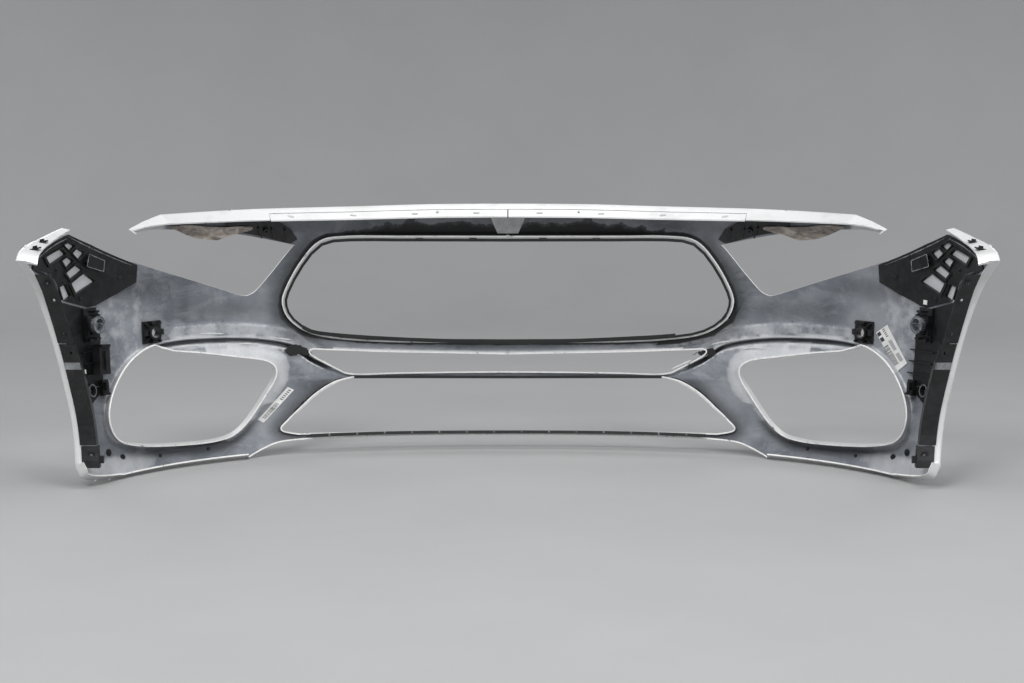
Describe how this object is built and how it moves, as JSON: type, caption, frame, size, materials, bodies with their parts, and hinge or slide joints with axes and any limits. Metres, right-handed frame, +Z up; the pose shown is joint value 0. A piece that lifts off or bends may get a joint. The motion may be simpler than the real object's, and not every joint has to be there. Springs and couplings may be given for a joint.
{
  "type": "bumper cover",
  "caption": "Front bumper cover of a passenger car with a wide grille opening, side intakes, headlamp cut-outs and inner brackets and sensor holders.",
  "frame": {"origin": "middle of the footprint, on the ground line that the lower edges of the side sections stand on", "axes": "+X to the vehicle's right, across the width; +Y forward, out through the nose; +Z up"},
  "size_m": [1.8474, 0.62, 0.541],
  "materials": {
    "painted_skin": "grey primer inside with silver overspray, silver-white gloss paint outside and on the flanges",
    "white_paint": "gloss silver-white body paint",
    "black_plastic": "grained black moulded plastic",
    "smoked_shield": "thin brown-grey translucent film, wrinkled",
    "grey_collar": "silver-grey gloss plastic",
    "black_rubber": "matte black rubber",
    "label_film": "white printed film",
    "rivet_plastic": "dark satin plastic",
    "grey_foam": "light grey felt pad"
  },
  "bodies": {
    "root": {"skin_crest": "painted_skin", "skin_bar_upper": "painted_skin", "skin_bar_middle": "painted_skin", "skin_bar_lower": "painted_skin", "skin_pillar_left": "painted_skin", "skin_shoulder_left": "painted_skin", "skin_fender_left": "painted_skin", "skin_corner_left": "painted_skin", "skin_foot_left": "painted_skin", "skin_pillar_right": "painted_skin", "skin_shoulder_right": "painted_skin", "skin_fender_right": "painted_skin", "skin_corner_right": "painted_skin", "skin_foot_right": "painted_skin", "upper_rail_left": "white_paint", "headlamp_bracket_left": "black_plastic", "headlamp_shield_left": "smoked_shield", "corner_bracket_left": "black_plastic", "arch_rail_left": "black_plastic", "arch_channel_left": "black_plastic", "arch_foot_left": "black_plastic", "side_carrier_left": "black_plastic", "side_sensor_holder_left": "black_plastic", "side_sensor_collar_left": "grey_collar", "front_sensor_holder_left": "black_plastic", "intake_clip_left": "black_plastic", "lower_grommets_left": "black_rubber", "part_label_left": "label_film", "bracket_tag_left": "label_film", "fender_clips_left": "black_plastic", "bracket_rivets_left": "rivet_plastic", "upper_rail_right": "white_paint", "headlamp_bracket_right": "black_plastic", "headlamp_shield_right": "smoked_shield", "corner_bracket_right": "black_plastic", "arch_rail_right": "black_plastic", "arch_channel_right": "black_plastic", "arch_foot_right": "black_plastic", "side_carrier_right": "black_plastic", "side_sensor_holder_right": "black_plastic", "side_sensor_collar_right": "grey_collar", "front_sensor_holder_right": "black_plastic", "intake_clip_right": "black_plastic", "lower_grommets_right": "black_rubber", "part_label_right": "label_film", "bracket_tag_right": "label_film", "fender_clips_right": "black_plastic", "bracket_rivets_right": "rivet_plastic", "cable_box": "black_plastic", "grille_rim_seal": "black_rubber", "grille_lower_strip": "black_rubber", "mid_bar_trim": "black_rubber", "lower_bar_trim": "black_rubber", "centre_pad": "grey_foam", "seal_patch": "black_rubber"}
  },
  "joints": []
}
